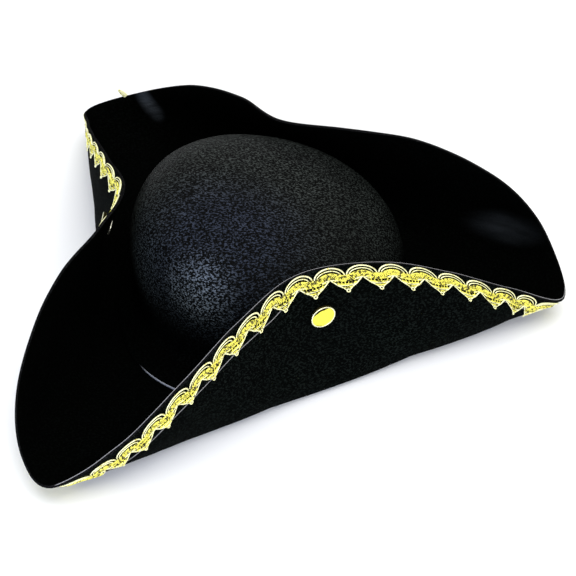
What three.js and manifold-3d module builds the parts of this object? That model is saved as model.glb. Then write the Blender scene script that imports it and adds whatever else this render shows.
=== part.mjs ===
// Tricorn hat: a domed felt crown sewn to a felt brim that is turned up on three sides,
// with a gold scalloped braid along the brim's edge and a gold stud in the middle of each flap.
// Millimetres, +Z up, the front corner points to -Y. The hat stands on the flat ring round its head opening.
import * as THREE from 'three';
import { mergeVertices } from 'three/addons/utils/BufferGeometryUtils.js';
import Module from 'manifold-3d';

// Felt
const feltThickness = 2;
const seamGap = 0.3;              // between the crown's foot and the brim that it is sewn to

// Crown, outside sizes
const crownLength = 188;          // front to back
const crownWidth = 186;
const crownHeight = 86;           // from the resting plane to the top, over the head's middle
const crownSquareness = 3.4;      // exponent of the dome's profile, 2 is an ellipse
const crownShift = { x: 5, y: 4.5 };        // middle of the crown from the middle of the brim
const crownLean = { x: -0.03, y: -0.03 };   // sideways for each millimetre of height
const crownSlope = { x: -0.17, y: -0.16 };  // rise of the crown's top for each millimetre outwards
const footWidth = 11;             // turned-out foot that is sewn to the brim, at the flaps
const footCorner = 14;            // how much wider the foot is towards the corners
const footRound = 6;              // where the wall turns into the foot
const footFillet = 0.3;           // how far that turn lies inside its corner, as a share of footRound
const crownSegments = 48;
const domeSteps = 7;

// Brim
const brimWidth = 136;            // from the crown's wall to the tip of the front corner
const flapRise = 89;              // height of the highest point of the rim's middle line
const bendLength = 17;            // how far each fold's rounding reaches into the flat and the flap
const footClearance = 1;          // flat felt that is left outside the crown's foot

// Braid
const braidWidth = 19.5;
const braidThickness = 1.2;
const braidPitch = 21.3;          // one scallop and one tooth
const braidMargin = 1.2;          // felt that shows above the scallops
const braidGap = 0.6;             // between the braid and the felt that it is sewn to

// Studs and their washers
const studDiameter = 18;
const studThickness = 2.2;
const studRimHeight = 0.7;        // raised rim round the flat face
const studRimWidth = 1.3;
const postDiameter = 3;
const postClearance = 0.3;
const washerDiameter = 12;
const washerThickness = 1;
const studSeat = 0.8;             // clearance of head and washer to the felt
const studChamfer = 0.5;          // on the back, the outside and the inside of the raised rim
const studSides = 12;

// Sections of the brim, anticlockwise from the front corner.
// bearing: degrees from +X. fold and reach: how far the fold and the rim lie outside the crown's wall,
// as shares of brimWidth. rise: height of the rim as a share of flapRise.
const sections = [
  { bearing: -91, fold: 0.675, reach: 0.98, rise: 0.175 },
  { bearing: -83, fold: 0.62, reach: 0.75, rise: 0.41 },
  { bearing: -74.5, fold: 0.455, reach: 0.5, rise: 0.7 },
  { bearing: -62.5, fold: 0.3, reach: 0.2, rise: 0.925 },
  { bearing: -41, fold: 0.17, reach: -0.025, rise: 1.0 },
  { bearing: -9.5, fold: 0.25, reach: 0.08, rise: 0.925 },
  { bearing: 7, fold: 0.435, reach: 0.32, rise: 0.7 },
  { bearing: 15, fold: 0.555, reach: 0.57, rise: 0.455 },
  { bearing: 22, fold: 0.525, reach: 0.83, rise: 0.2 },
  { bearing: 34, fold: 0.56, reach: 0.715, rise: 0.48 },
  { bearing: 44.5, fold: 0.5, reach: 0.52, rise: 0.7 },
  { bearing: 60, fold: 0.325, reach: 0.225, rise: 0.855 },
  { bearing: 83, fold: 0.205, reach: -0.025, rise: 0.895 },
  { bearing: 112.5, fold: 0.25, reach: -0.055, rise: 0.85 },
  { bearing: 129, fold: 0.42, reach: 0.23, rise: 0.75 },
  { bearing: 140.5, fold: 0.575, reach: 0.54, rise: 0.6 },
  { bearing: 151, fold: 0.63, reach: 0.805, rise: 0.36 },
  { bearing: 160, fold: 0.61, reach: 0.895, rise: 0.285 },
  { bearing: 166, fold: 0.6, reach: 0.665, rise: 0.465 },
  { bearing: 174.5, fold: 0.45, reach: 0.42, rise: 0.71 },
  { bearing: 189, fold: 0.275, reach: 0.135, rise: 0.895 },
  { bearing: 209.5, fold: 0.185, reach: -0.04, rise: 0.97 },
  { bearing: 233.5, fold: 0.235, reach: 0.11, rise: 1.0 },
  { bearing: 243, fold: 0.31, reach: 0.355, rise: 0.925 },
  { bearing: 250.5, fold: 0.39, reach: 0.61, rise: 0.73 },
  { bearing: 256.5, fold: 0.485, reach: 0.825, rise: 0.465 },
  { bearing: 262.5, fold: 0.605, reach: 0.955, rise: 0.235 },
];

// Where the studs sit: the section whose flap they are in, counted along the table, and how far down it.
const studs = [
  { name: 'left', section: 4.22, drop: 30 },
  { name: 'back', section: 12.5, drop: 47 },
  { name: 'right', section: 21.1, drop: 33 },
];

const black = { color: 0x0b0c0e, roughness: 0.95, metalness: 0 };
const gold = { color: 0xd9c24a, roughness: 0.45, metalness: 0.3 };
const brass = { color: 0xe6d65a, roughness: 0.3, metalness: 0.8 };

// The crown's outside radius in plan, seen from the middle of the head opening.
function crownRadius(bearing) {
  const a = crownWidth / 2;
  const b = crownLength / 2;
  return (a * b) / Math.hypot(b * Math.cos(bearing), a * Math.sin(bearing));
}

// Width of the crown's foot, which reaches further out towards the three corners.
function footReach(bearing) {
  const front = THREE.MathUtils.degToRad(sections[0].bearing);
  return footWidth + footCorner * (0.5 + 0.5 * Math.cos(3 * (bearing - front)));
}

function polar(bearing, radius, height) {
  return new THREE.Vector3(radius * Math.cos(bearing), radius * Math.sin(bearing), height);
}

// A closed smooth curve through one point of every section.
function ring(share, height) {
  const points = sections.map((row) => {
    const bearing = THREE.MathUtils.degToRad(row.bearing);
    return polar(bearing, crownRadius(bearing) + row[share] * brimWidth, height(row));
  });
  const curve = new THREE.CatmullRomCurve3(points, true, 'catmullrom', 0.5);
  curve.arcLengthDivisions = 1200;
  return curve;
}

const flatHeight = feltThickness / 2;
const foldRing = ring('fold', () => flatHeight);
const rimRing = ring('reach', (row) => row.rise * flapRise);
const repeats = Math.round(rimRing.getLength() / braidPitch);
const stations = 2 * repeats;
const braidDrop = braidMargin + braidWidth;
const braidFootMargin = 0.5;      // flat felt below the teeth

// The brim's middle line at one place round the hat, from the head opening over the fold to the rim.
function brimProfile(t) {
  const corner = foldRing.getPoint(t);
  const rim = rimRing.getPoint(t);
  const bearing = Math.atan2(corner.y, corner.x);
  const inner = polar(bearing, crownRadius(bearing) - feltThickness, flatHeight);
  inner.x += crownShift.x;
  inner.y += crownShift.y;
  const flap = rim.distanceTo(corner);
  const flat = inner.distanceTo(corner);
  const flatFree = flat - feltThickness - footReach(bearing) - footClearance;
  const flapFree = flap - braidDrop - 2 * braidFootMargin;
  const bend = Math.min(bendLength, flatFree, flapFree);
  const start = corner.clone().lerp(inner, bend / flat);
  const end = corner.clone().lerp(rim, bend / flap);
  const round = new THREE.QuadraticBezierCurve3(start, corner, end);
  const braidFoot = rim.clone().lerp(corner, (braidDrop + braidFootMargin) / flap);
  return [inner, ...round.getPoints(4), braidFoot, rim];
}

// Grid of the brim's middle surface, one profile at each station, spaced evenly along the rim.
function brimGrid() {
  const grid = [];
  for (let i = 0; i < stations; i += 1) {
    grid.push(brimProfile(rimRing.getUtoTmapping(i / stations)));
  }
  return grid;
}

// Unit normals of a grid that is closed in its first direction. They point to the underside and the outside.
// The first two rows bound the flat ring round the head opening and keep its own direction.
function gridNormals(grid) {
  const last = grid[0].length - 1;
  const flatRow = 1;
  return grid.map((profile, i) => profile.map((point, j) => {
    const next = grid[(i + 1) % grid.length][j];
    const before = grid[(i + grid.length - 1) % grid.length][j];
    const along = next.clone().sub(before);
    const ahead = j <= flatRow ? flatRow : Math.min(j + 1, last);
    const behind = j <= flatRow ? 0 : j - 1;
    const across = profile[ahead].clone().sub(profile[behind]);
    return along.cross(across).normalize();
  }));
}

function offsetGrid(grid, normals, distance) {
  const moved = (point, i, j) => point.clone().addScaledVector(normals[i][j], distance);
  return grid.map((profile, i) => profile.map((point, j) => moved(point, i, j)));
}

function geometryFrom(points, index) {
  const geometry = new THREE.BufferGeometry();
  const values = points.flatMap((point) => point.toArray());
  geometry.setAttribute('position', new THREE.Float32BufferAttribute(values, 3));
  geometry.setIndex(index);
  return geometry;
}

// A closed sheet between two like grids that run round the hat.
function closedSheet(outer, inner) {
  const count = outer.length;
  const width = outer[0].length;
  const points = [...outer.flat(), ...inner.flat()];
  const at = (side, i, j) => side * count * width + (i % count) * width + j;
  const index = [];
  const quad = (a, b, c, d) => index.push(a, c, b, a, d, c);
  for (let i = 0; i < count; i += 1) {
    for (let j = 0; j < width - 1; j += 1) {
      quad(at(0, i, j), at(0, i, j + 1), at(0, i + 1, j + 1), at(0, i + 1, j));
      quad(at(1, i, j), at(1, i + 1, j), at(1, i + 1, j + 1), at(1, i, j + 1));
    }
    quad(at(0, i, 0), at(0, i + 1, 0), at(1, i + 1, 0), at(1, i, 0));
    quad(at(0, i, width - 1), at(1, i, width - 1), at(1, i + 1, width - 1), at(0, i + 1, width - 1));
  }
  return geometryFrom(points, index);
}

const middle = brimGrid();
const normals = gridNormals(middle);
const outside = offsetGrid(middle, normals, feltThickness / 2);
const inside = offsetGrid(middle, normals, -feltThickness / 2);

// Crown: a lathed shell with a turned-out foot that lies on the brim.
function crownGeometry() {
  const radius = crownWidth / 2;
  const footBottom = feltThickness + seamGap;
  const footTop = footBottom + feltThickness;
  const dome = (reach, low, height) => {
    const points = [];
    for (let k = 0; k <= domeSteps; k += 1) {
      const angle = (k / domeSteps) * (Math.PI / 2);
      const wide = k === domeSteps ? 0 : Math.cos(angle) ** (2 / crownSquareness);
      const rise = Math.sin(angle) ** (2 / crownSquareness);
      points.push(new THREE.Vector2(reach * wide, low + (height - low) * rise));
    }
    return points;
  };
  const outer = dome(radius, footTop + footRound, crownHeight);
  const inner = dome(radius - feltThickness, footBottom, crownHeight - feltThickness).reverse();
  const profile = [
    ...inner,
    new THREE.Vector2(radius + footWidth, footBottom),
    new THREE.Vector2(radius + footWidth, footTop),
    new THREE.Vector2(radius + footRound, footTop),
    new THREE.Vector2(radius + footFillet * footRound, footTop + footFillet * footRound),
    ...outer,
  ];
  const geometry = new THREE.LatheGeometry(profile, crownSegments);
  geometry.rotateX(Math.PI / 2);
  const position = geometry.attributes.position;
  const footInside = radius + (footRound + footWidth) / 2;
  for (let k = 0; k < position.count; k += 1) {
    const [x, y, z] = [position.getX(k), position.getY(k), position.getZ(k)];
    const reach = Math.hypot(x, y);
    const wider = reach > footInside ? (radius + footReach(Math.atan2(y, x))) / reach : 1;
    const plan = new THREE.Vector2(x * wider, (y * wider * crownLength) / crownWidth);
    const share = Math.max(0, z - footTop) / (crownHeight - footTop);
    position.setXYZ(
      k,
      plan.x + crownShift.x + crownLean.x * (z - footBottom),
      plan.y + crownShift.y + crownLean.y * (z - footBottom),
      z + share * (crownSlope.x * plan.x + crownSlope.y * plan.y),
    );
  }
  return geometry;
}

// Braid: a band that follows the outer face of the rim. Scallops stand towards the edge, teeth hang below,
// half a pitch apart, with one gap through each. Depths are shares of braidWidth below the top.
const braidSteps = 4;
const scallopDepth = [0.16, 0.05, 0, 0.05];
const toothDepth = [1, 0.78, 0.62, 0.78];
const braidMiddle = 0.5;
const scallopGap = [[-0.12, 0.36], [0, 0.38], [0.12, 0.36], [0, 0.17]];
const toothGap = [[-0.1, 0.64], [0, 0.6], [0.1, 0.64], [0, 0.83]];
// The order in which triangles step on along the outline (o) and along the gap (g).
const pierceSteps = ['o', 'g', 'o', 'g', 'o', 'o', 'g', 'o', 'o', 'g'];

// A point of the braid: pitch counts scallops along the rim, depth runs from the top of the band down.
// It lies over the brim's own triangles, so that the band follows the felt closely.
function braidPoint(pitch, depth, height) {
  const place = (pitch * 2) % stations;
  const i = Math.floor(place);
  const k = (i + 1) % stations;
  const last = outside[0].length - 1;
  const along = place - i;
  const down = (braidMargin + depth * braidWidth) / (braidDrop + braidFootMargin);
  const [foot, rim] = outside[i].slice(last - 1);
  const [nextFoot, nextRim] = outside[k].slice(last - 1);
  const upper = down <= 1 - along;
  const base = upper ? rim : nextFoot;
  const sideways = upper ? nextRim.clone().sub(rim) : foot.clone().sub(nextFoot);
  const upright = upper ? foot.clone().sub(rim) : nextRim.clone().sub(nextFoot);
  const point = base.clone().addScaledVector(sideways, upper ? along : 1 - along);
  const normal = normals[i][last].clone().lerp(normals[k][last], along).normalize();
  return point.addScaledVector(upright, upper ? down : 1 - down).addScaledVector(normal, height);
}

function braidGeometry() {
  const points = [];
  const known = new Map();
  const index = [];
  const vertex = (pitch, depth, side) => {
    const wrapped = ((pitch % repeats) + repeats) % repeats;
    const key = `${wrapped.toFixed(4)} ${depth.toFixed(4)} ${side}`;
    if (!known.has(key)) {
      known.set(key, points.length);
      points.push(braidPoint(wrapped, depth, braidGap + side * braidThickness));
    }
    return known.get(key);
  };
  // Triangles on the face and the back.
  const facet = (a, b, c) => {
    index.push(vertex(...a, 1), vertex(...b, 1), vertex(...c, 1));
    index.push(vertex(...a, 0), vertex(...c, 0), vertex(...b, 0));
  };
  // An edge strip of the band's thickness.
  const wall = (a, b) => {
    index.push(vertex(...a, 1), vertex(...a, 0), vertex(...b, 0));
    index.push(vertex(...a, 1), vertex(...b, 0), vertex(...b, 1));
  };
  const cell = (a, b, c, d) => {
    facet(a, b, c);
    facet(a, c, d);
  };
  // The face between an outline of six points and a gap of four. The points run the same way round.
  const pierced = (outline, gap, steps) => {
    let o = 0;
    let g = 0;
    for (const step of steps) {
      if (step === 'o') {
        facet(outline[o % 6], outline[(o + 1) % 6], gap[g % 4]);
        o += 1;
      } else {
        facet(outline[o % 6], gap[(g + 1) % 4], gap[g % 4]);
        g += 1;
      }
    }
    for (let k = 0; k < 4; k += 1) {
      wall(gap[(k + 1) % 4], gap[k]);
    }
  };
  for (let n = 0; n < repeats; n += 1) {
    const top = (k) => [n + k / braidSteps, scallopDepth[(k + braidSteps) % braidSteps]];
    const low = (k) => [n + k / braidSteps, toothDepth[(k + braidSteps) % braidSteps]];
    const mid = (k) => [n + k / braidSteps, braidMiddle];
    const scallop = scallopGap.map(([along, depth]) => [n + 0.5 + along, depth]);
    const tooth = toothGap.map(([along, depth]) => [n + along, depth]);
    pierced([mid(1), mid(2), mid(3), top(3), top(2), top(1)], scallop, pierceSteps);
    pierced([mid(1), mid(0), mid(-1), low(-1), low(0), low(1)], [tooth[2], tooth[1], tooth[0], tooth[3]], pierceSteps);
    cell(mid(0), mid(1), top(1), top(0));
    cell(mid(3), mid(4), top(4), top(3));
    cell(low(1), low(2), mid(2), mid(1));
    cell(low(2), low(3), mid(3), mid(2));
    for (let k = 0; k < braidSteps; k += 1) {
      wall(top(k + 1), top(k));
      wall(low(k), low(k + 1));
    }
  }
  return geometryFrom(points, index);
}

// The place of a stud: a point of the flap's middle surface, and the way out of its outer face.
function studPlace({ section, drop }) {
  const t = section / sections.length;
  const nearby = 0.002;
  const at = (shift) => {
    const corner = foldRing.getPoint(t + shift);
    const rim = rimRing.getPoint(t + shift);
    return rim.clone().lerp(corner, drop / rim.distanceTo(corner));
  };
  const point = at(0);
  const side = at(nearby).sub(at(-nearby));
  const up = rimRing.getPoint(t).sub(foldRing.getPoint(t));
  return { point, out: side.cross(up).normalize() };
}

// Turns a lathed shape, whose axis is +Y, so that +Y points out of the flap.
function placed(geometry, { point, out }) {
  const turn = new THREE.Quaternion().setFromUnitVectors(new THREE.Vector3(0, 1, 0), out);
  return geometry.applyQuaternion(turn).translate(point.x, point.y, point.z);
}

function studGeometry() {
  const r = studDiameter / 2;
  const seat = feltThickness / 2 + studSeat;
  const end = -(feltThickness / 2 + studSeat + washerThickness);
  const face = seat + studThickness - studRimHeight;
  const profile = [
    [0, end], [postDiameter / 2, end], [postDiameter / 2, seat],
    [r - studChamfer, seat], [r, seat + studChamfer],
    [r - studChamfer, face + studRimHeight], [r - studRimWidth, face + studRimHeight],
    [r - studRimWidth - studChamfer, face], [0, face],
  ];
  return new THREE.LatheGeometry(profile.map(([x, y]) => new THREE.Vector2(x, y)), studSides);
}

function washerGeometry() {
  const bore = postDiameter / 2 + postClearance;
  const r = washerDiameter / 2;
  const top = -(feltThickness / 2 + studSeat);
  const low = top - washerThickness;
  const profile = [[bore, top], [bore, low], [r, low], [r, top], [bore, top]];
  return new THREE.LatheGeometry(profile.map(([x, y]) => new THREE.Vector2(x, y)), studSides);
}

const wasm = await Module();
wasm.setup();

function solid(geometry) {
  const bare = geometry.clone();
  bare.deleteAttribute('normal');
  bare.deleteAttribute('uv');
  const merged = mergeVertices(bare, 1e-4);
  return new wasm.Manifold(new wasm.Mesh({
    numProp: 3,
    vertProperties: Float32Array.from(merged.attributes.position.array),
    triVerts: Uint32Array.from(merged.index.array),
  }));
}

function fromSolid(body) {
  const mesh = body.getMesh();
  const geometry = new THREE.BufferGeometry();
  geometry.setAttribute('position', new THREE.BufferAttribute(Float32Array.from(mesh.vertProperties), 3));
  geometry.setIndex(Array.from(mesh.triVerts));
  return geometry;
}

// Brim: the turned-up sheet with a hole for each stud.
function brimGeometry() {
  let body = solid(closedSheet(outside, inside));
  for (const stud of studs) {
    const bore = postDiameter / 2 + postClearance;
    const through = 4 * feltThickness;
    const hole = new THREE.CylinderGeometry(bore, bore, through, studSides);
    body = body.subtract(solid(placed(hole, studPlace(stud))));
  }
  return fromSolid(body);
}

const hat = new THREE.Group();

function add(name, geometry, finish) {
  const mesh = new THREE.Mesh(geometry, new THREE.MeshStandardMaterial(finish));
  mesh.name = name;
  hat.add(mesh);
}

add('crown', crownGeometry(), black);
add('brim', brimGeometry(), black);
add('braid', braidGeometry(), gold);
for (const stud of studs) {
  add(`stud_${stud.name}`, placed(studGeometry(), studPlace(stud)), brass);
  add(`washer_${stud.name}`, placed(washerGeometry(), studPlace(stud)), brass);
}

// The origin is the middle of the hat's plan, on the resting plane.
const middleOfPlan = new THREE.Box3().setFromObject(hat).getCenter(new THREE.Vector3());
for (const mesh of hat.children) {
  mesh.geometry.translate(-middleOfPlan.x, -middleOfPlan.y, 0);
}

export default hat;
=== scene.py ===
import math
from bisect import bisect_right

import bmesh
import bpy
from mathutils import Matrix, Vector, noise


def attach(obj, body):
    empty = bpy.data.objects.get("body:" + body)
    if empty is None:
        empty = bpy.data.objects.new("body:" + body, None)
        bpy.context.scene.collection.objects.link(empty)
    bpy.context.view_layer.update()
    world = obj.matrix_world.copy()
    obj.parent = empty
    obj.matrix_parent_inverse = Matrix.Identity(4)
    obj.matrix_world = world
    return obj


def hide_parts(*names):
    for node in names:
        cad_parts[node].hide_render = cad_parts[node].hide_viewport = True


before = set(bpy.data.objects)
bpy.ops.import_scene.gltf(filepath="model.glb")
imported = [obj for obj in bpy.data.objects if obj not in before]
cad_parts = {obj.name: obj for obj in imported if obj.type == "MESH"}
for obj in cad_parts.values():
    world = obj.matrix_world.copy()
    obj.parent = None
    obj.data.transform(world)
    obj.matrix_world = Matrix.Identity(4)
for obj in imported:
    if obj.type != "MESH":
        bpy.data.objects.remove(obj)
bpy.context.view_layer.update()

# Brim.
# One sheet of black wool felt, 2 mm thick, steamed over a block and turned up on three sides.
# Its inner edge is sewn under the crown's foot. The cut edge is left raw and shows paler than the nap.
felt_thickness = 0.002
seam_gap = 0.0003
crown_radius_x = 0.093
crown_radius_y = 0.094
foot_width = 0.011
foot_corner = 0.014
foot_clearance = 0.001
brim_width = 0.136
flap_rise = 0.089
bend_in = 0.017                   # rounding of the fold towards the crown
bend_up = 0.026                   # and up the flap
flap_bow = 0.0025                 # how far a flap bulges outwards halfway up
flap_reserve = 0.001              # flat felt below the braid
flat_share = 0.2                  # rows of the sheet that lie flat, from the head opening outwards
bend_share = 0.55                 # and up to the end of the bend
braid_margin = 0.0012
braid_width = 0.0195
brim_middle = Vector((0.00516, 0.05493, 0))
crown_middle = Vector((0.01016, 0.05943, 0))
brim_stations = 420
brim_rows = 34

# Bearing in degrees, then the fold's and the rim's place outside the crown as shares of the brim's width,
# then the rim's height as a share of the highest flap.
brim_sections = [
    (-91, 0.675, 0.98, 0.175), (-83, 0.62, 0.75, 0.41), (-74.5, 0.455, 0.5, 0.7),
    (-62.5, 0.3, 0.2, 0.925), (-41, 0.17, -0.025, 1.0), (-9.5, 0.25, 0.08, 0.925),
    (7, 0.435, 0.32, 0.7), (15, 0.555, 0.57, 0.455), (22, 0.525, 0.83, 0.2),
    (34, 0.56, 0.715, 0.48), (44.5, 0.5, 0.52, 0.7), (60, 0.325, 0.225, 0.855),
    (83, 0.205, -0.025, 0.895), (112.5, 0.25, -0.055, 0.85), (129, 0.42, 0.23, 0.75),
    (140.5, 0.575, 0.54, 0.6), (151, 0.63, 0.805, 0.36), (160, 0.61, 0.895, 0.285),
    (166, 0.6, 0.665, 0.465), (174.5, 0.45, 0.42, 0.71), (189, 0.275, 0.135, 0.895),
    (209.5, 0.185, -0.04, 0.97), (233.5, 0.235, 0.11, 1.0), (243, 0.31, 0.355, 0.925),
    (250.5, 0.39, 0.61, 0.73), (256.5, 0.485, 0.825, 0.465), (262.5, 0.605, 0.955, 0.235),
]


def crown_radius(bearing):
    across, along = crown_radius_x, crown_radius_y
    return across * along / math.hypot(along * math.cos(bearing), across * math.sin(bearing))


def foot_reach(bearing):
    front = math.radians(brim_sections[0][0])
    return foot_width + foot_corner * (0.5 + 0.5 * math.cos(3 * (bearing - front)))


def polar(bearing, radius, height):
    return Vector((radius * math.cos(bearing), radius * math.sin(bearing), height))


def smooth(share):
    share = min(max(share, 0.0), 1.0)
    return share * share * (3 - 2 * share)


fold_line, rim_line = [], []
for degrees, fold, reach, rise in brim_sections:
    angle = math.radians(degrees)
    fold_line.append(polar(angle, crown_radius(angle) + fold * brim_width, felt_thickness / 2))
    rim_line.append(polar(angle, crown_radius(angle) + reach * brim_width, rise * flap_rise))


def on_ring(line, t):
    """A point of the smooth closed line through these points, t from 0 to 1."""
    count = len(line)
    place = (t % 1.0) * count
    k = int(place)
    f = place - k
    a, b, c, d = (line[(k + n) % count] for n in (-1, 0, 1, 2))
    square, cube = 2 * a - 5 * b + 4 * c - d, 3 * b - a - 3 * c + d
    return 0.5 * (2 * b + (c - a) * f + square * f * f + cube * f * f * f)


# Lengths along the rim, so that the braid's repeats come out even.
rim_steps = 3240
rim_lengths = [0.0]
for k in range(rim_steps):
    step = on_ring(rim_line, (k + 1) / rim_steps) - on_ring(rim_line, k / rim_steps)
    rim_lengths.append(rim_lengths[-1] + step.length)
rim_length = rim_lengths[-1]


def rim_place(length):
    """How far round the rim, 0 to 1, a length along it comes."""
    length = length % rim_length
    k = min(bisect_right(rim_lengths, length) - 1, rim_steps - 1)
    return (k + (length - rim_lengths[k]) / (rim_lengths[k + 1] - rim_lengths[k])) / rim_steps


def flap_frame(t):
    """The flap at one place: its rim, the ways down to the fold and out of its outer face, and its length."""
    rim, corner = on_ring(rim_line, t), on_ring(fold_line, t)
    beside = 0.0015
    along = (on_ring(rim_line, t + beside) + on_ring(fold_line, t + beside)
             - on_ring(rim_line, t - beside) - on_ring(fold_line, t - beside))
    down = corner - rim
    out = along.cross(-down).normalized()
    return rim, down.normalized(), out, down.length


def unevenness(point):
    """The slow unevenness of hand-shaped felt."""
    wave, ripple = noise.noise(point * 14), noise.noise(point * 45 + Vector((3, 1, 7)))
    return 0.0016 * wave + 0.0005 * ripple


def flap_point(t, drop, out=0.0):
    """A point of the flap: drop runs down from the rim, out is measured from the felt's middle."""
    rim, down, outward, length = flap_frame(t)
    bow = flap_bow * math.sin(math.pi * min(drop / length, 1.0)) ** 2
    point = rim + down * drop
    return point + outward * (bow + unevenness(point) + out) + brim_middle


def brim_point(t, across):
    """A point of the felt's middle: across is 0 at the head opening, 1 at the rim."""
    rim, down, outward, flap = flap_frame(t)
    corner = on_ring(fold_line, t)
    bearing = math.atan2(corner.y, corner.x)
    inner = polar(bearing, crown_radius(bearing) - felt_thickness, felt_thickness / 2)
    inner += crown_middle - brim_middle
    flat = (corner - inner).length
    inward = min(bend_in, flat - felt_thickness - foot_reach(bearing) - foot_clearance)
    upward = min(bend_up, flap - braid_margin - braid_width - flap_reserve)
    start = corner.lerp(inner, inward / flat)
    end = corner.lerp(rim, upward / flap)
    if across <= flat_share:
        return inner.lerp(start, across / flat_share) + brim_middle
    if across < bend_share:
        f = (across - flat_share) / (bend_share - flat_share)
        point = start * (1 - f) ** 2 + corner * 2 * f * (1 - f) + end * f * f
        drop = flap - upward * f * f
        swell = smooth(f) * (flap_bow * math.sin(math.pi * drop / flap) ** 2 + unevenness(point))
        return point + outward * swell + brim_middle
    f = (across - bend_share) / (1 - bend_share)
    return flap_point(t, (flap - upward) * (1 - f))


def make_piece(name, bm, materials):
    """Turns a bmesh into a smooth-shaded piece of the hat."""
    for face in bm.faces:
        face.smooth = True
    mesh = bpy.data.meshes.new(name)
    bm.to_mesh(mesh)
    bm.free()
    for material in materials:
        mesh.materials.append(material)
    piece = bpy.data.objects.new(name, mesh)
    bpy.context.scene.collection.objects.link(piece)
    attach(piece, "root")
    return piece


def new_material(name):
    """A new material, its nodes, its links and its Principled shader."""
    material = bpy.data.materials.new(name)
    material.use_nodes = True
    nodes, links = material.node_tree.nodes, material.node_tree.links
    return material, nodes, links, nodes["Principled BSDF"]


def new_group(name, inputs, outputs):
    """A node group with these named sockets: the group, its nodes and links, and its two end nodes."""
    group = bpy.data.node_groups.new(name, "ShaderNodeTree")
    for in_out, sockets in (("INPUT", inputs), ("OUTPUT", outputs)):
        for socket, kind in sockets.items():
            group.interface.new_socket(socket, in_out=in_out, socket_type="NodeSocket" + kind)
    ends = [group.nodes.new("NodeGroupInput"), group.nodes.new("NodeGroupOutput")]
    return group, group.nodes, group.links, *ends


def raised(nodes, links, height, shader, strength, distance):
    """Gives a surface the relief of a height."""
    relief = nodes.new("ShaderNodeBump")
    relief.inputs["Strength"].default_value = strength
    relief.inputs["Distance"].default_value = distance
    links.new(height, relief.inputs["Height"])
    links.new(relief.outputs["Normal"], shader.inputs["Normal"])


def laid_over(nodes, links, share, under, colour, blend="MIX"):
    """A colour over another one, as far as the share says."""
    mix = nodes.new("ShaderNodeMix")
    mix.data_type = "RGBA"
    mix.blend_type = blend
    mix.inputs["B"].default_value = (*colour, 1)
    links.new(share, mix.inputs["Factor"])
    links.new(under, mix.inputs["A"])
    return mix.outputs["Result"]


# The nap of pressed wool felt: matted fibres under a millimetre long, combed one way, with paler tips.
nap, nodes, links, group_in, group_out = new_group(
    "felt nap", {"Size": "Float", "Dark": "Color", "Pale": "Color"}, {"Color": "Color", "Height": "Float"})
place = nodes.new("ShaderNodeTexCoord")
comb = nodes.new("ShaderNodeMapping")
comb.vector_type = "TEXTURE"
comb.inputs["Rotation"].default_value = (0, 0, math.radians(35))
comb.inputs["Scale"].default_value = (1.6, 1.0, 1.0)
links.new(place.outputs["Object"], comb.inputs["Vector"])
tufts = nodes.new("ShaderNodeTexNoise")
tufts.inputs["Detail"].default_value = 3
tufts.inputs["Roughness"].default_value = 0.6
links.new(comb.outputs["Vector"], tufts.inputs["Vector"])
links.new(group_in.outputs["Size"], tufts.inputs["Scale"])
fine = nodes.new("ShaderNodeTexNoise")
fine.inputs["Scale"].default_value = 2100
fine.inputs["Detail"].default_value = 2
links.new(place.outputs["Object"], fine.inputs["Vector"])
cloud = nodes.new("ShaderNodeTexNoise")
cloud.inputs["Scale"].default_value = 26
cloud.inputs["Detail"].default_value = 3
links.new(place.outputs["Object"], cloud.inputs["Vector"])
spread = nodes.new("ShaderNodeMapRange")
spread.inputs["From Min"].default_value = 0.505
spread.inputs["From Max"].default_value = 0.6
links.new(tufts.outputs["Fac"], spread.inputs["Value"])
mottle_and_pit_shade = nodes.new("ShaderNodeMapRange")
mottle_and_pit_shade.inputs["From Min"].default_value = 0.3
mottle_and_pit_shade.inputs["From Max"].default_value = 0.75
mottle_and_pit_shade.inputs["To Min"].default_value = 0.6
links.new(cloud.outputs["Fac"], mottle_and_pit_shade.inputs["Value"])
share = nodes.new("ShaderNodeMath")
share.operation = "MULTIPLY"
links.new(spread.outputs["Result"], share.inputs[0])
links.new(mottle_and_pit_shade.outputs["Result"], share.inputs[1])
shade = nodes.new("ShaderNodeMix")
shade.data_type = "RGBA"
links.new(share.outputs["Value"], shade.inputs["Factor"])
links.new(group_in.outputs["Dark"], shade.inputs["A"])
links.new(group_in.outputs["Pale"], shade.inputs["B"])
links.new(shade.outputs["Result"], group_out.inputs["Color"])
depth = nodes.new("ShaderNodeMath")
depth.operation = "MULTIPLY_ADD"
depth.inputs[1].default_value = 0.35
links.new(fine.outputs["Fac"], depth.inputs[0])
links.new(tufts.outputs["Fac"], depth.inputs[2])
links.new(depth.outputs["Value"], group_out.inputs["Height"])


def felt(name, size, dark, pale, bump, gloss, rough):
    """A felt of its own shade, with its number of tufts to the metre and the depth and sheen of its nap."""
    material, nodes, links, shader = new_material(name)
    fibres = nodes.new("ShaderNodeGroup")
    fibres.node_tree = nap
    fibres.inputs["Size"].default_value = size
    fibres.inputs["Dark"].default_value = (*dark, 1)
    fibres.inputs["Pale"].default_value = (*pale, 1)
    links.new(fibres.outputs["Color"], shader.inputs["Base Color"])
    raised(nodes, links, fibres.outputs["Height"], shader, bump, 0.0012)
    shader.inputs["Roughness"].default_value = rough
    shader.inputs["Specular IOR Level"].default_value = gloss
    return material, nodes, links, shader


# The outside is a little paler and fuzzier than the inside, which is the same felt painted darker as painted
# shade.
outer_felt = felt(
    "brim felt outside", 900, (0.0004, 0.0007, 0.0006), (0.0062, 0.0088, 0.0078), 0.5, 0.015, 0.9)[0]
cut_felt = felt("cut felt edge", 1500, (0.002, 0.002, 0.002), (0.013, 0.013, 0.014), 0.4, 0.02, 0.9)[0]
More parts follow.
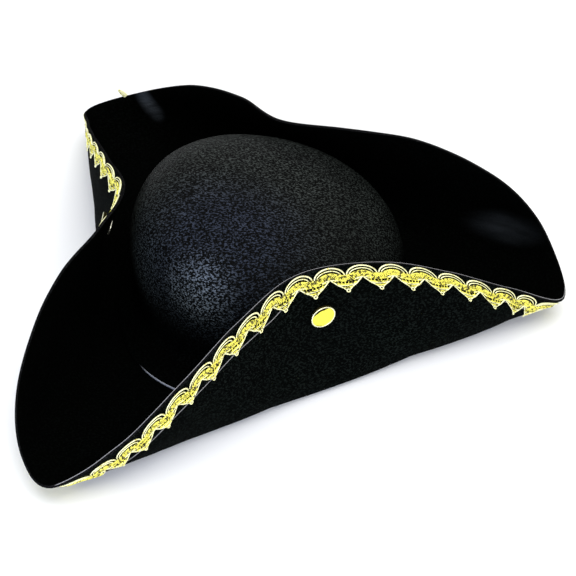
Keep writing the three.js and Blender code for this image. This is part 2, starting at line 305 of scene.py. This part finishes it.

# Inside, two places in the corners are painted with a soft, streaked sheen, a painted highlight. Each one has
# its middle, its reach along three axes, its turn about the second axis and its strength.
inner_felt, nodes, links, shader = felt(
    "brim felt inside", 900, (0.0002, 0.0003, 0.0002), (0.0012, 0.0016, 0.0014), 0.5, 0.01, 0.9)
painted_sheen_spots = [((0.134, 0.164, 0.026), (0.044, 0.022, 0.014), -19, 0.42),
           ((-0.1595, 0.1527, 0.0275), (0.020, 0.020, 0.008), 48, 1.1)]
place = nodes.new("ShaderNodeTexCoord")
streaks = nodes.new("ShaderNodeTexNoise")
streaks.inputs["Scale"].default_value = 130
streaks.inputs["Detail"].default_value = 4
flow = nodes.new("ShaderNodeMapping")
flow.vector_type = "TEXTURE"
flow.inputs["Rotation"].default_value = (0, math.radians(-19), 0)
flow.inputs["Scale"].default_value = (6, 2, 0.9)
links.new(place.outputs["Object"], flow.inputs["Vector"])
links.new(flow.outputs["Vector"], streaks.inputs["Vector"])
shares = []
for centre, reach, turn, strength in painted_sheen_spots:
    spot = nodes.new("ShaderNodeMapping")
    spot.vector_type = "TEXTURE"
    spot.inputs["Location"].default_value = centre
    spot.inputs["Rotation"].default_value = (0, math.radians(turn), 0)
    spot.inputs["Scale"].default_value = reach
    distance = nodes.new("ShaderNodeVectorMath")
    distance.operation = "LENGTH"
    fade = nodes.new("ShaderNodeMapRange")
    fade.interpolation_type = "SMOOTHSTEP"
    fade.inputs["From Min"].default_value = 1.0
    fade.inputs["From Max"].default_value = 0.0
    fade.inputs["To Max"].default_value = strength
    links.new(place.outputs["Object"], spot.inputs["Vector"])
    links.new(spot.outputs["Vector"], distance.inputs[0])
    links.new(distance.outputs["Value"], fade.inputs["Value"])
    shares.append(fade.outputs["Result"])
both = nodes.new("ShaderNodeMath")
both.operation = "ADD"
links.new(shares[0], both.inputs[0])
links.new(shares[1], both.inputs[1])
broken = nodes.new("ShaderNodeMapRange")
broken.inputs["From Min"].default_value = 0.22
broken.inputs["From Max"].default_value = 0.72
links.new(streaks.outputs["Fac"], broken.inputs["Value"])
amount = nodes.new("ShaderNodeMath")
amount.operation = "MULTIPLY"
links.new(both.outputs["Value"], amount.inputs[0])
links.new(broken.outputs["Result"], amount.inputs[1])
plain = shader.inputs["Base Color"].links[0].from_socket
with_painted_sheen = laid_over(nodes, links, amount.outputs["Value"], plain, (0.060, 0.070, 0.084))
links.new(with_painted_sheen, shader.inputs["Base Color"])

bm = bmesh.new()
bmesh.ops.create_grid(bm, x_segments=brim_stations, y_segments=brim_rows, size=0.5)
for vert in bm.verts:
    vert.co = brim_point(rim_place((vert.co.x + 0.5) * rim_length), vert.co.y + 0.5)
bmesh.ops.remove_doubles(bm, verts=bm.verts, dist=1e-6)
brim = make_piece("felt_brim", bm, [outer_felt, inner_felt, cut_felt])
thickness = brim.modifiers.new("felt", "SOLIDIFY")
thickness.thickness = felt_thickness
thickness.offset = 0
thickness.material_offset = 1
thickness.material_offset_rim = 2
edge = brim.modifiers.new("cut edge", "BEVEL")
edge.width = 0.0003
edge.segments = 2
edge.limit_method = "ANGLE"
edge.angle_limit = math.radians(50)
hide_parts("brim")

# Crown.
# Pulled over a block from one piece of the same felt, a little uneven, with a foot turned out at the bottom.
# The foot is sewn flat to the brim, and is wider towards the three corners.
crown_height = 0.086
crown_squareness = 3.4
crown_lean = Vector((-0.03, -0.03, 0))
crown_slope = Vector((-0.17, -0.16, 0))
foot_round = 0.006
foot_top = 2 * felt_thickness + seam_gap

# A round patch with a soft side: it is full at one distance from its middle and none at another one.
patch, nodes, links, group_in, group_out = new_group(
    "soft patch", {"Middle": "Vector", "Full": "Float", "None": "Float"}, {"Share": "Float"})
place = nodes.new("ShaderNodeTexCoord")
away = nodes.new("ShaderNodeVectorMath")
away.operation = "DISTANCE"
fade = nodes.new("ShaderNodeMapRange")
fade.interpolation_type = "SMOOTHSTEP"
links.new(place.outputs["Object"], away.inputs[0])
links.new(group_in.outputs["Middle"], away.inputs[1])
links.new(away.outputs["Value"], fade.inputs["Value"])
links.new(group_in.outputs["None"], fade.inputs["From Min"])
links.new(group_in.outputs["Full"], fade.inputs["From Max"])
links.new(fade.outputs["Result"], group_out.inputs["Share"])


def soft_patch(nodes, middle, full, none):
    """One such patch in a material: returns its share of each place."""
    node = nodes.new("ShaderNodeGroup")
    node.node_tree = patch
    node.inputs["Middle"].default_value = middle
    node.inputs["Full"].default_value = full
    node.inputs["None"].default_value = none
    return node.outputs["Share"]


# The nap is glossier high on the crown, and its colour is painted dark towards the foot as painted shade.
crown_felt, nodes, links, shader = felt(
    "crown felt", 940, (0.0001, 0.0002, 0.0001), (0.052, 0.060, 0.056), 1.0, 0.03, 0.5)
place = nodes.new("ShaderNodeTexCoord")
height = nodes.new("ShaderNodeSeparateXYZ")
above = nodes.new("ShaderNodeMapRange")
above.interpolation_type = "SMOOTHSTEP"
above.inputs["From Min"].default_value = 0.02
above.inputs["From Max"].default_value = 0.06
above.inputs["To Min"].default_value = 0.06
level = nodes.new("ShaderNodeMath")
level.operation = "MULTIPLY"
level.inputs[1].default_value = 0.05
# Painted shade: towards the foot the colour fades to near black.
painted_low_shade = nodes.new("ShaderNodeMix")
painted_low_shade.data_type = "RGBA"
painted_low_shade.inputs["A"].default_value = (0.0004, 0.0005, 0.0004, 1)
links.new(place.outputs["Object"], height.inputs["Vector"])
links.new(height.outputs["Z"], above.inputs["Value"])
links.new(above.outputs["Result"], level.inputs[0])
links.new(level.outputs["Value"], shader.inputs["Specular IOR Level"])
links.new(above.outputs["Result"], painted_low_shade.inputs["Factor"])
shade = shader.inputs["Base Color"].links[0].from_socket
# Painted light over it: painted shade darker towards the sides, a painted cool sheen over the front, and
# below that a painted highlight, a spot of bright sparkles.
for middle, full, none, tint in (((0, 0.06, 0.08), 0.09, 0.035, (0.6, 0.63, 0.61)),
                                 ((0.016, 0.002, 0.085), 0.02, 0.076, (0.8, 0.85, 1.42)),
                                 ((0.0155, -0.0284, 0.068), 0.0, 0.032, (6.6, 6.2, 5.2))):
    shade = laid_over(nodes, links, soft_patch(nodes, middle, full, none), shade, tint, "MULTIPLY")
links.new(shade, painted_low_shade.inputs["B"])
links.new(painted_low_shade.outputs["Result"], shader.inputs["Base Color"])
# The foot's felt is painted as dark as the brim's inside, painted shade.
foot_felt = felt("foot felt", 900, (0.0002, 0.0003, 0.0002), (0.0015, 0.002, 0.0017), 0.5, 0.01, 0.9)[0]

# The foot's cut edge is painted pale for a short way at the front, a painted highlight along it.
foot_edge, nodes, links, shader = felt(
    "foot's cut edge", 1500, (0.001, 0.001, 0.001), (0.004, 0.004, 0.004), 0.3, 0.02, 0.9)
plain = shader.inputs["Base Color"].links[0].from_socket
painted_edge_highlight = soft_patch(nodes, (-0.0003, -0.0594, 0.003), 0.010, 0.021)
links.new(laid_over(nodes, links, painted_edge_highlight, plain, (0.34, 0.34, 0.34)), shader.inputs["Base Color"])

bm = bmesh.new()
dome_base = foot_top + foot_round
dome_steps, round_steps, foot_steps = 30, 6, 4
power = 2 / crown_squareness
outline = []
for k in range(dome_steps + 1):
    angle = math.pi / 2 * (1 - k / dome_steps)
    reach = 0 if k == 0 else crown_radius_x * math.cos(angle) ** power
    outline.append((reach, dome_base + (crown_height - dome_base) * math.sin(angle) ** power))
for k in range(1, round_steps + 1):
    angle = math.pi / 2 * k / round_steps
    reach = crown_radius_x + foot_round * (1 - math.cos(angle))
    outline.append((reach, dome_base - foot_round * math.sin(angle)))
for k in range(1, foot_steps + 1):
    outline.append((crown_radius_x + foot_round + (foot_width - foot_round) * k / foot_steps, foot_top))
corners = [bm.verts.new((reach, 0, height)) for reach, height in outline]
lines = [bm.edges.new(pair) for pair in zip(corners, corners[1:])]
bmesh.ops.spin(bm, geom=corners + lines, cent=(0, 0, 0), axis=(0, 0, 1), angle=2 * math.pi, steps=160,
               use_merge=True)
bmesh.ops.remove_doubles(bm, verts=bm.verts, dist=1e-6)
for vert in bm.verts:
    x, y, z = vert.co
    reach = math.hypot(x, y)
    foot = max(0, reach - crown_radius_x - foot_round) / (foot_width - foot_round)
    if foot > 0:
        wide = (reach + foot * (foot_reach(math.atan2(y, x)) - foot_width)) / reach
        x, y = x * wide, y * wide
    plan = Vector((x, y * crown_radius_y / crown_radius_x, 0))
    share = max(0, z - foot_top) / (crown_height - foot_top)
    lift = share * (crown_slope.dot(plan))
    vert.co = plan + crown_middle + crown_lean * (z - foot_top) + Vector((0, 0, z + lift))
    vert.co += plan.normalized() * smooth(4 * share) * unevenness(vert.co) if plan.length else Vector()
bmesh.ops.recalc_face_normals(bm, faces=bm.faces)
for face in bm.faces:
    face.material_index = 1 if max(vert.co.z for vert in face.verts) < foot_top + 0.3 * foot_round else 0
crown = make_piece("felt_crown", bm, [crown_felt, foot_felt, foot_edge])
wall = crown.modifiers.new("felt", "SOLIDIFY")
wall.thickness = felt_thickness
wall.offset = -1
wall.material_offset_rim = 1
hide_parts("crown")

# Braid.
# A gimp braid of metal-wound threads: a close plaited band, scallops of three open threads above it, and
# pierced teeth below it that each end in a small ring. It is sewn flat to the outer face, just under the
# cut edge.
braid_gap = 0.0002
braid_repeats = 60
edge_felt = 0.0001                # felt that shows above the braid on the left and right flaps
corner_felt = 0.0018              # more of it elsewhere
back_felt = 0.0022                # and still more on the back flap
left_middle, back_middle, right_middle = 0.2, 0.49, 0.68      # how far round the rim
pitch = rim_length / braid_repeats
mm = 0.001


def braid_point(along, drop, out):
    """along runs round the rim, drop is measured from the top of the braid, out from its back."""
    t = rim_place(along)
    from_left = min(abs(t - left_middle), 1 - abs(t - left_middle))
    right = smooth((0.13 - abs(t - right_middle)) / 0.04)
    back = smooth((0.1 - abs(t - back_middle)) / 0.06)
    top = edge_felt + corner_felt * smooth((from_left - 0.06) / 0.12) * (1 - right) + back_felt * back
    return flap_point(t, top + drop, felt_thickness / 2 + braid_gap + out)


def thread(curve, points, radius, colour):
    """One thread through these points. Its radius is a share of the curve's, its colour a material slot."""
    spline = curve.splines.new("NURBS")
    spline.points.add(len(points) - 1)
    for k, (along, drop, out) in enumerate(points):
        spline.points[k].co = (along, drop, out, 1)
        spline.points[k].radius = radius
    spline.order_u = min(4, len(points))
    spline.use_endpoint_u = True
    spline.resolution_u = 2
    spline.material_index = colour
    return spline


# Metal foil wound round a core: fine turns across the thread, and dark specks of painted shade where it dips.
foil, nodes, links, group_in, group_out = new_group(
    "wound foil", {"Deep": "Color", "Bright": "Color", "Low": "Float", "High": "Float"},
    {"Color": "Color", "Height": "Float"})
place = nodes.new("ShaderNodeTexCoord")
turns = nodes.new("ShaderNodeTexNoise")
turns.inputs["Scale"].default_value = 2600
turns.inputs["Detail"].default_value = 2
specks = nodes.new("ShaderNodeTexNoise")
specks.inputs["Scale"].default_value = 560
specks.inputs["Detail"].default_value = 2
mottle_and_pit_shade = nodes.new("ShaderNodeMapRange")
mixed = nodes.new("ShaderNodeMix")
mixed.data_type = "RGBA"
links.new(place.outputs["Object"], turns.inputs["Vector"])
links.new(place.outputs["Object"], specks.inputs["Vector"])
links.new(specks.outputs["Fac"], mottle_and_pit_shade.inputs["Value"])
links.new(group_in.outputs["Low"], mottle_and_pit_shade.inputs["From Min"])
links.new(group_in.outputs["High"], mottle_and_pit_shade.inputs["From Max"])
links.new(mottle_and_pit_shade.outputs["Result"], mixed.inputs["Factor"])
links.new(group_in.outputs["Deep"], mixed.inputs["A"])
links.new(group_in.outputs["Bright"], mixed.inputs["B"])
links.new(mixed.outputs["Result"], group_out.inputs["Color"])
links.new(turns.outputs["Fac"], group_out.inputs["Height"])


def gold_thread(name, deep, bright, low, high, rough):
    """A wound gold thread. Low and high say how much of it is specks of painted shade."""
    material, nodes, links, shader = new_material(name)
    wound = nodes.new("ShaderNodeGroup")
    wound.node_tree = foil
    wound.inputs["Deep"].default_value = (*deep, 1)
    wound.inputs["Bright"].default_value = (*bright, 1)
    wound.inputs["Low"].default_value = low
    wound.inputs["High"].default_value = high
    links.new(wound.outputs["Color"], shader.inputs["Base Color"])
    raised(nodes, links, wound.outputs["Height"], shader, 0.5, 0.0002)
    shader.inputs["Metallic"].default_value = 0.15
    shader.inputs["Roughness"].default_value = rough
    return material


# The outline threads are painted paler than the plait's gold, a painted highlight along them.
plait_gold = gold_thread("plait gold", (0.05, 0.038, 0.003), (0.92, 0.85, 0.12), 0.425, 0.47, 0.4)
painted_highlight_edge_gold = gold_thread("edge gold, painted highlight", (0.62, 0.54, 0.12), (1.0, 0.98, 0.55), 0.3, 0.46, 0.3)

# One repeat, drawn flat in millimetres: along from the middle of the scallop, down from its top, and out.
wide = pitch / mm
half = wide / 2
pattern = bpy.data.curves.new("braid pattern", "CURVE")
pattern.materials.append(plait_gold)
pattern.materials.append(painted_highlight_edge_gold)
pattern.dimensions = "3D"
pattern.bevel_depth = 1.0
pattern.bevel_resolution = 0
PLAIT, EDGE = 0, 1

# Three nested arcs of a scallop with open gaps, closer on the left where they are pulled into the plait.
arc_foot, arc_steps = 7.2, 12
for left, right, top, height, radius, colour in ((10.2, 10.2, 0.4, 0.5, 0.52, EDGE),
                                                 (8.6, 7.8, 2.3, 0.62, 0.4, EDGE),
                                                 (7.0, 5.4, 4.2, 0.74, 0.4, PLAIT)):
    arc = []
    for n in range(arc_steps + 1):
        angle = math.pi * (n / arc_steps * 1.1 - 0.05)
        side = left if n < arc_steps / 2 else right
        arc.append((-side * math.cos(angle), arc_foot - (arc_foot - top) * math.sin(angle), height))
    thread(pattern, arc, radius, colour)

# The plait: strands that cross, over and under, in a band that winds a little up and down.
strands, strand_turns, strand_steps = 5, 3, 24
for k in range(strands):
    strand = []
    for n in range(strand_steps + 1):
        f = n / strand_steps
        turn = 2 * math.pi * (strand_turns * f + k / strands)
        middle = 7.3 - 1.35 * math.cos(2 * math.pi * (f - 0.47))
        strand.append((-half + wide * f, middle + 2.2 * math.sin(turn), 0.85 + 0.4 * math.cos(turn + 1)))
    thread(pattern, strand, 0.47, PLAIT)

# The lower side of the plait under the scallop, which is the upper end of two teeth.
lower_side = [(-5.2, 10.0, 0.6), (-2.6, 9.0, 0.6), (0, 8.7, 0.6), (2.6, 9.0, 0.6), (5.2, 10.0, 0.6)]
thread(pattern, lower_side, 0.48, EDGE)

# A tooth hangs half a pitch away: its two outlines, the arcs across it, the bars between, and a ring.
outline = [(10.0, 9.2), (8.6, 10.4), (7.3, 11.9), (5.8, 13.3), (3.9, 14.6), (2.3, 15.6), (1.45, 16.7)]
for side in (-1, 1):
    thread(pattern, [(half + side * along, drop, 0.6) for along, drop in outline], 0.52, EDGE)
for reach, drop, sag, radius, colour in ((7.8, 10.0, 0.8, 0.42, PLAIT), (6.6, 12.0, 1.2, 0.5, PLAIT),
                                         (5.6, 12.9, 1.3, 0.4, EDGE), (3.4, 14.9, 0.6, 0.5, PLAIT)):
    arc = [(half + reach * f, drop + sag * (1 - f * f), 0.6) for f in (-1, -0.6, -0.2, 0.2, 0.6, 1)]
    thread(pattern, arc, radius, colour)
for along in (-5.6, -3.4, -1.15, 1.15, 3.4, 5.6):
    thread(pattern, [(half + along, 10.2, 0.5), (half + along * 0.95, 13.0, 0.5)], 0.36, PLAIT)
ring_radius, ring_drop = 1.15, 17.6
ring = [(half + ring_radius * math.cos(math.pi * n / 4),
         ring_drop + ring_radius * math.sin(math.pi * n / 4), 0.6) for n in range(8)]
loop = thread(pattern, ring, 0.5, EDGE)
loop.use_endpoint_u = False
loop.use_cyclic_u = True

pattern_object = bpy.data.objects.new("braid pattern", pattern)
one_repeat = bpy.data.meshes.new_from_object(pattern_object)
bm = bmesh.new()
for n in range(braid_repeats):
    before = len(bm.verts)
    bm.from_mesh(one_repeat)
    bm.verts.ensure_lookup_table()
    for vert in bm.verts[before:]:
        along, drop, out = vert.co
        vert.co = braid_point((n + 0.5) * pitch + along * mm, drop * mm, out * mm)
bmesh.ops.recalc_face_normals(bm, faces=bm.faces)
bpy.data.objects.remove(pattern_object)
braid = make_piece("gold_braid", bm, [plait_gold, painted_highlight_edge_gold])
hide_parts("braid")

# Loose braid end.
# Where the braid starts, by the right corner, the end of one gold thread sticks up past the edge.
# It is bent over into a narrow flat loop of three turns side by side.
loose = bpy.data.curves.new("loose end", "CURVE")
loose.dimensions = "3D"
loose.bevel_depth = mm
loose.bevel_resolution = 1
foot_section, foot_drop, foot_out = 16.12, 0.003, 0.0008     # place in the table, below the rim, off the felt
t = foot_section / len(brim_sections)
foot_of_loop = flap_point(t, foot_drop, felt_thickness / 2 + foot_out)
leaning = Vector((-0.0062, -0.0042, 0.0088))
across = leaning.cross(flap_frame(t)[2]).normalized()
leaf = [(0, 0), (0.25, 0.6), (0.55, 1), (0.8, 0.7), (1.0, 0.05)]      # how far up it, and how far to the side
for offset, radius in ((-1.3, 0.7), (0, 1.0), (1.3, 0.7)):
    turn = [foot_of_loop + leaning * along + across * offset * side * mm for along, side in leaf]
    thread(loose, [tuple(point) for point in turn], radius, 0)
loose_object = bpy.data.objects.new("loose end", loose)
bm = bmesh.new()
bm.from_mesh(bpy.data.meshes.new_from_object(loose_object))
bpy.data.objects.remove(loose_object)
braid_end = make_piece("loose_braid_end", bm, [painted_highlight_edge_gold])

# Sewing threads.
# A pale grey thread runs along the cut edge and lies bare on one flap. Another one holds the lower side
# of the braid, hangs loose at the tips of the teeth near the front, and elsewhere runs behind the plait.
thread_lift = 0.0002              # above the felt
edge_drop, bare_rise = 0.0008, 0.0007                         # of the upper thread, and where it lies bare
plait_drop, tips_lower, side_lower = 0.0085, 0.0092, 0.003    # of the other one, and how much lower it hangs
sewing = bpy.data.curves.new("sewing", "CURVE")
sewing.dimensions = "3D"
sewing.bevel_depth = 0.00024
sewing.bevel_resolution = 1
sewing_points = 900
for lower in (False, True):
    line = sewing.splines.new("POLY")
    line.points.add(sewing_points - 1)
    for n in range(sewing_points):
        t = rim_place(rim_length * n / sewing_points)
        if lower:
            front = smooth((t + 0.01) / 0.04) * smooth((0.155 - t) / 0.025)
            side = smooth((t - 0.235) / 0.03) * smooth((0.32 - t) / 0.03)
            drop = plait_drop + tips_lower * front + side_lower * side
            place = flap_point(t, drop, felt_thickness / 2 + thread_lift)
        else:
            bare = smooth((t + 0.01) / 0.02) * smooth((0.325 - t) / 0.03)
            drop = edge_drop - bare_rise * bare
            place = flap_point(t, drop, bare * (thread_lift - felt_thickness / 2))
        line.points[n].co = (*place, 1)
    line.use_cyclic_u = True
thread_object = bpy.data.objects.new("sewing", sewing)
bm = bmesh.new()
bm.from_mesh(bpy.data.meshes.new_from_object(thread_object))
bpy.data.objects.remove(thread_object)
grey_thread, nodes, links, shader = new_material("grey thread")
place = nodes.new("ShaderNodeTexCoord")
twist = nodes.new("ShaderNodeTexNoise")
twist.inputs["Scale"].default_value = 900
ramp = nodes.new("ShaderNodeMix")
ramp.data_type = "RGBA"
ramp.inputs["A"].default_value = (0.10, 0.10, 0.105, 1)
ramp.inputs["B"].default_value = (0.4, 0.39, 0.4, 1)
links.new(place.outputs["Object"], twist.inputs["Vector"])
links.new(twist.outputs["Fac"], ramp.inputs["Factor"])
links.new(ramp.outputs["Result"], shader.inputs["Base Color"])
shader.inputs["Roughness"].default_value = 0.6
stitching = make_piece("sewing_threads", bm, [grey_thread])

# Studs and washers.
# A stamped gold disc with a raised rim sits in the middle of each flap, and its post goes through the felt
# into a small washer on the inside.
# Their outlines are in millimetres: out from the axis, and up from the middle of the felt.
stud_face = [
    (0, -2.8), (1.5, -2.8), (1.5, 1.8), (7.5, 1.8), (8.05, 2.0), (8.3, 2.6), (8.3, 3.4), (8.2, 3.8),
    (7.95, 4.02), (7.65, 4.05), (7.4, 3.85), (7.1, 3.5), (6.8, 3.35), (6.5, 3.28), (6.2, 3.25), (5.9, 3.25),
    (5.6, 3.25), (5.3, 3.25), (5.0, 3.26), (4.6, 3.27), (3.0, 3.3), (0, 3.33),
]
stud_back, stud_wall, stud_rim = 1.9, 8.1, 7.3    # the back lies below, the wall and the rim outside of these
painted_shade_width = 2.3
painted_shade_side = Vector((-0.72, 0.24, 0.65))        # painted shade darkens the studs inside the upper part of their rims
washer_face = [
    (1.8, -1.9), (1.8, -2.7), (2.1, -2.85), (5.6, -2.85), (5.95, -2.65), (6.0, -2.3), (5.9, -1.95),
    (5.6, -1.82), (2.0, -1.82), (1.8, -1.9),
]
# Each stud's place in the table of sections, its drop from the rim, and its tilt in degrees.
studs = [("left", 4.22, 0.0305, -16), ("back", 12.5, 0.050, 0), ("right", 21.1, 0.033, -4)]

# Fine handling marks that dull a polished metal here and there.
marks, nodes, links, group_in, group_out = new_group(
    "handling marks", {"Scale": "Float", "Polish": "Float"}, {"Roughness": "Float", "Height": "Float"})
place = nodes.new("ShaderNodeTexCoord")
scuffs = nodes.new("ShaderNodeTexNoise")
scuffs.inputs["Detail"].default_value = 4
dullest = nodes.new("ShaderNodeMath")
dullest.operation = "ADD"
dullest.inputs[1].default_value = 0.2
dull = nodes.new("ShaderNodeMapRange")
links.new(place.outputs["Object"], scuffs.inputs["Vector"])
links.new(group_in.outputs["Scale"], scuffs.inputs["Scale"])
links.new(group_in.outputs["Polish"], dullest.inputs[0])
links.new(scuffs.outputs["Fac"], dull.inputs["Value"])
links.new(group_in.outputs["Polish"], dull.inputs["To Min"])
links.new(dullest.outputs["Value"], dull.inputs["To Max"])
links.new(dull.outputs["Result"], group_out.inputs["Roughness"])
links.new(scuffs.outputs["Fac"], group_out.inputs["Height"])


def metal(name, base, rough, scale):
    """Polished sheet metal with handling marks."""
    material, nodes, links, shader = new_material(name)
    handled = nodes.new("ShaderNodeGroup")
    handled.node_tree = marks
    handled.inputs["Scale"].default_value = scale
    handled.inputs["Polish"].default_value = rough
    links.new(handled.outputs["Roughness"], shader.inputs["Roughness"])
    raised(nodes, links, handled.outputs["Height"], shader, 0.15, 0.0003)
    shader.inputs["Base Color"].default_value = (*base, 1)
    shader.inputs["Metallic"].default_value = 1.0
    return material


stud_gold = metal("stud gold", (0.97, 0.93, 0.1), 0.3, 260)
# The rim's gold is painted paler than the face's, a painted highlight.
painted_highlight_rim_gold = metal("stud rim gold, painted highlight", (1.0, 0.98, 0.68), 0.35, 300)
# A near-black gold painted on the studs as painted shade.
painted_shade_gold = metal("gold with painted shade", (0.035, 0.028, 0.008), 0.6, 300)
washer_metal = metal("washer metal", (0.93, 0.9, 0.75), 0.25, 300)


def turned(name, face, materials, where):
    """A turned piece on the stud's axis, at its place in the flap."""
    bm = bmesh.new()
    corners = [bm.verts.new((radius * mm, 0, height * mm)) for radius, height in face]
    lines = [bm.edges.new(pair) for pair in zip(corners, corners[1:])]
    bmesh.ops.spin(bm, geom=corners + lines, cent=(0, 0, 0), axis=(0, 0, 1), angle=2 * math.pi, steps=56,
                   use_merge=True)
    bmesh.ops.remove_doubles(bm, verts=bm.verts, dist=1e-7)
    bmesh.ops.recalc_face_normals(bm, faces=bm.faces)
    # The rim's top gets the painted highlight gold; its outer wall and a crescent inside the upper rim get
    # the painted shade gold.
    if len(materials) > 1:
        upper = where.to_3x3().inverted() @ painted_shade_side
        upper.z = 0
        for facet in bm.faces:
            centre = facet.calc_center_median() / mm
            if centre.z <= stud_back:
                continue
            turn = centre.xy.normalized().dot(upper.xy.normalized())
            if centre.xy.length > stud_wall:
                facet.material_index = 2
            elif centre.xy.length > stud_rim:
                facet.material_index = 1
            elif centre.xy.length > stud_rim - painted_shade_width * smooth((turn - 0.45) / 0.5):
                facet.material_index = 2
    bmesh.ops.transform(bm, matrix=where, verts=bm.verts)
    piece = make_piece(name, bm, materials)
    return piece


for side, section, drop, tilt in studs:
    t = section / len(brim_sections)
    rim, down, outward, length = flap_frame(t)
    place = Matrix.Translation(flap_point(t, drop))
    hung = Matrix.Rotation(math.radians(tilt), 3, down.cross(outward)) @ outward
    where = place @ hung.to_track_quat("Z", "Y").to_matrix().to_4x4()
    stud = turned(f"gold_stud_{side}", stud_face, [stud_gold, painted_highlight_rim_gold, painted_shade_gold], where)
    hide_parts(f"stud_{side}")
    where = place @ outward.to_track_quat("Z", "Y").to_matrix().to_4x4()
    washer = turned(f"stud_washer_{side}", washer_face, [washer_metal], where)
    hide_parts(f"washer_{side}")

# Floor, lights and camera.
floor_mesh = bpy.data.meshes.new("floor")
bm = bmesh.new()
bmesh.ops.create_grid(bm, x_segments=1, y_segments=1, size=6)
bm.to_mesh(floor_mesh)
bm.free()
floor = bpy.data.objects.new("floor", floor_mesh)
bpy.context.scene.collection.objects.link(floor)
paper, nodes, links, shader = new_material("pale paper")
shader.inputs["Base Color"].default_value = (0.9, 0.9, 0.9, 1)
shader.inputs["Roughness"].default_value = 0.8
floor_mesh.materials.append(paper)

world = bpy.data.worlds.new("studio")
world.use_nodes = True
world.node_tree.nodes["Background"].inputs["Color"].default_value = (0.95, 0.97, 1, 1)
world.node_tree.nodes["Background"].inputs["Strength"].default_value = 0.35
bpy.context.scene.world = world


def soft_light(name, place, aim, size, power, colour):
    light = bpy.data.lights.new(name, "AREA")
    light.shape = "DISK"
    light.size = size
    light.energy = power
    light.color = colour
    lamp = bpy.data.objects.new(name, light)
    lamp.matrix_world = Matrix.Translation(place) @ (place - aim).to_track_quat("Z", "Y").to_matrix().to_4x4()
    bpy.context.scene.collection.objects.link(lamp)


soft_light("overhead", Vector((0.1, 0.2, 1.6)), Vector((0, 0, 0.05)), 2.4, 36, (1, 1, 1))
soft_light("front", Vector((-0.22, -1.35, 0.36)), Vector((0, 0, 0.05)), 0.4, 11, (0.62, 0.72, 1))
soft_light("fill", Vector((1.3, -1.2, 0.9)), Vector((0, 0, 0.04)), 1.2, 18, (1, 1, 1))

camera_bearing = math.radians(35)
camera_height = math.radians(43.5)
camera_roll = math.radians(-3)
camera_distance = 1.1352
camera_aim = Vector((0.00065, 0.05657, 0))
picture_pixels = 576              # the picture is as high as it is wide
focal_pixels = 1634.6
aim_pixel = (257.5, 280)          # where the aim point falls in the picture
back = Vector((math.sin(camera_bearing) * math.cos(camera_height),
               -math.cos(camera_bearing) * math.cos(camera_height), math.sin(camera_height)))
right = Vector((math.cos(camera_bearing), math.sin(camera_bearing), 0))
up = back.cross(right)
right, up = (right * math.cos(camera_roll) + up * math.sin(camera_roll),
             -right * math.sin(camera_roll) + up * math.cos(camera_roll))
beside, above = picture_pixels / 2 - aim_pixel[0], picture_pixels / 2 - aim_pixel[1]
toward = (back * focal_pixels - right * beside + up * above).normalized()
right = (right - toward * right.dot(toward)).normalized()
up = toward.cross(right)
eye = camera_aim + back * camera_distance
lens = bpy.data.cameras.new("camera")
lens.sensor_width = 36
lens.lens = lens.sensor_width * focal_pixels / picture_pixels
camera = bpy.data.objects.new("camera", lens)
camera.matrix_world = Matrix.Translation(eye) @ Matrix((right, up, toward)).transposed().to_4x4()
bpy.context.scene.collection.objects.link(camera)
bpy.context.scene.camera = camera
bpy.context.scene.view_settings.view_transform = "Standard"
